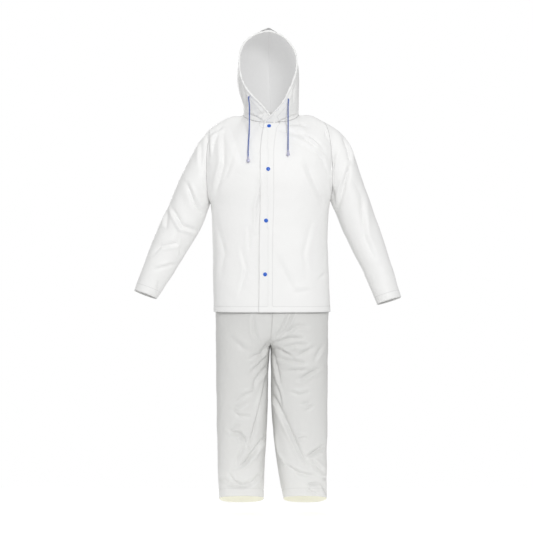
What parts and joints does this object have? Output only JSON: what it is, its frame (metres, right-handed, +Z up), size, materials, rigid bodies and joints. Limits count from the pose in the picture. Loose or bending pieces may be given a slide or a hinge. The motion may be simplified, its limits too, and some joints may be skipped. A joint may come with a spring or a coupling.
{
  "type": "rain suit",
  "caption": "Hooded rain suit: a loose snap-front jacket with a drawstring hood over straight elasticated trousers, hollow and filled out as if worn.",
  "frame": {"origin": "base of the neck, midway between the shoulders, where the wearer carries the suit", "axes": "+Z up, the front faces -Y, +X is the wearer's left"},
  "size_m": [1.0038, 0.3123, 1.7979],
  "materials": {
    "jacket_vinyl": "soft satin",
    "trousers_vinyl": "soft satin",
    "snap_plastic": "moulded",
    "cord_blue": "braided",
    "clear_plastic": "moulded"
  },
  "bodies": {
    "root": {"front_left": "jacket_vinyl", "front_right": "jacket_vinyl", "back": "jacket_vinyl", "sleeve_left": "jacket_vinyl", "sleeve_right": "jacket_vinyl", "hood_left": "jacket_vinyl", "hood_right": "jacket_vinyl", "leg_left": "trousers_vinyl", "leg_right": "trousers_vinyl", "waistband": "trousers_vinyl", "snap_neck": "snap_plastic", "snap_chest": "snap_plastic", "snap_waist": "snap_plastic", "snap_hem": "snap_plastic", "cord_left": "cord_blue", "cord_right": "cord_blue", "cord_end_left": "clear_plastic", "cord_end_right": "clear_plastic"}
  },
  "joints": []
}
